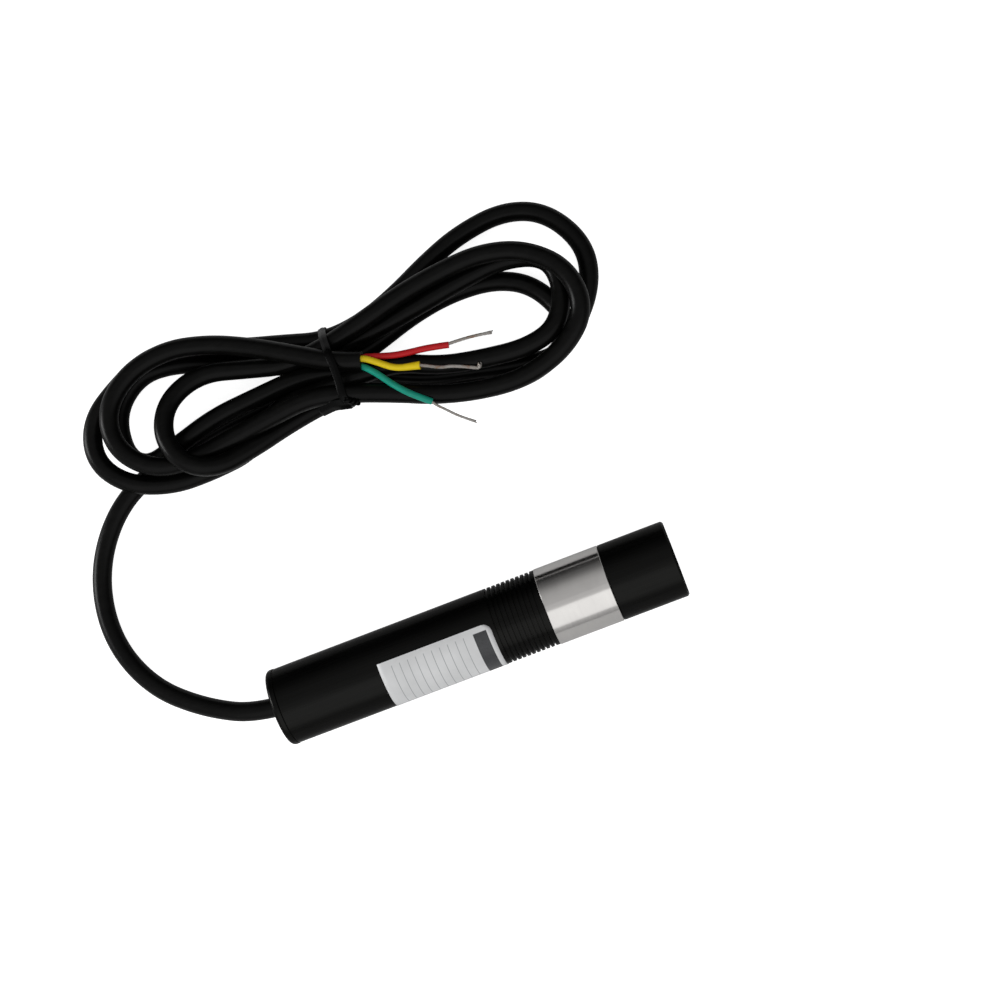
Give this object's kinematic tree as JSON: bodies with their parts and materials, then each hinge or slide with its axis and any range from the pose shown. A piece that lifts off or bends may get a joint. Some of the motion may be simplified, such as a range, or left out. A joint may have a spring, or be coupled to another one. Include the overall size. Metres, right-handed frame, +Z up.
{
  "type": "laser diode module",
  "caption": "Slim cylindrical laser line module with a grooved black barrel, bright heat-sink ring, turning focus head and a tied hank of cable with stripped cores.",
  "frame": {"origin": "on the resting surface, under the middle of the barrel", "axes": "+X along the barrel towards the beam side, +Z up, the barrel axis 8 mm above the surface"},
  "size_m": [0.1233, 0.0879, 0.016],
  "materials": {
    "black_anodised": "satin black anodised",
    "bright_metal": "bright turned",
    "steel": "ground",
    "brass": "turned",
    "gold_can": "gold plated",
    "rubber": "matt",
    "tie_nylon": "satin",
    "lens_glass": "polished",
    "film": "translucent film",
    "board": "solder mask",
    "chip_plastic": "moulded",
    "ferrite": "sintered",
    "can_aluminium": "drawn",
    "ceramic_tan": "fired",
    "solder": "bright",
    "core_red": "satin",
    "core_yellow": "satin",
    "core_green": "satin",
    "tinned_copper": "twisted",
    "label": "satin vinyl",
    "cable_jacket": "satin"
  },
  "bodies": {
    "barrel": {"bare_tip_green": "tinned_copper", "bare_tip_red": "tinned_copper", "bare_tip_yellow": "tinned_copper", "cable_grommet": "rubber", "cable_hank": "cable_jacket", "cable_lead": "cable_jacket", "cable_stop_tie": "tie_nylon", "cable_tie": "tie_nylon", "carriage_key_pin": "steel", "ceramic_capacitors": "ceramic_tan", "chip_resistors": "chip_plastic", "core_green": "core_green", "core_red": "core_red", "core_yellow": "core_yellow", "diode_clamp_ring": "brass", "driver_board": "board", "driver_chip": "chip_plastic", "filter_capacitor": "can_aluminium", "heat_sink_body": "bright_metal", "housing_tube": "black_anodised", "inner_core_green": "core_green", "inner_core_red": "core_red", "inner_core_yellow": "core_yellow", "insulating_sleeve": "film", "label": "label", "laser_diode": "gold_can", "nose_o_ring": "rubber", "power_inductor": "ferrite", "power_transistor": "chip_plastic", "protection_diode": "chip_plastic", "rear_cap": "black_anodised", "sense_resistor": "chip_plastic", "solder_joints": "solder"},
    "carriage": {"lens_carriage": "black_anodised", "collimating_lens": "lens_glass", "lens_clamp_ring": "brass", "line_lens": "lens_glass", "line_lens_clamp_ring": "black_anodised"},
    "head": {"focus_head": "black_anodised", "head_retaining_ring": "black_anodised"}
  },
  "joints": [
    {"name": "carriage_slide", "type": "slide", "parent": "barrel", "child": "carriage", "axis": [1, 0, 0], "range_m": [0, 0.001]},
    {"name": "head_turn", "type": "hinge", "parent": "carriage", "child": "head", "pos_m": [0.036, 0, 0.008], "axis": [1, 0, 0], "range_deg": [0, 720.5]}
  ],
  "couplings": [
    {"joint": "head_turn", "follows": "carriage_slide", "rad_per_m": 12566}
  ]
}
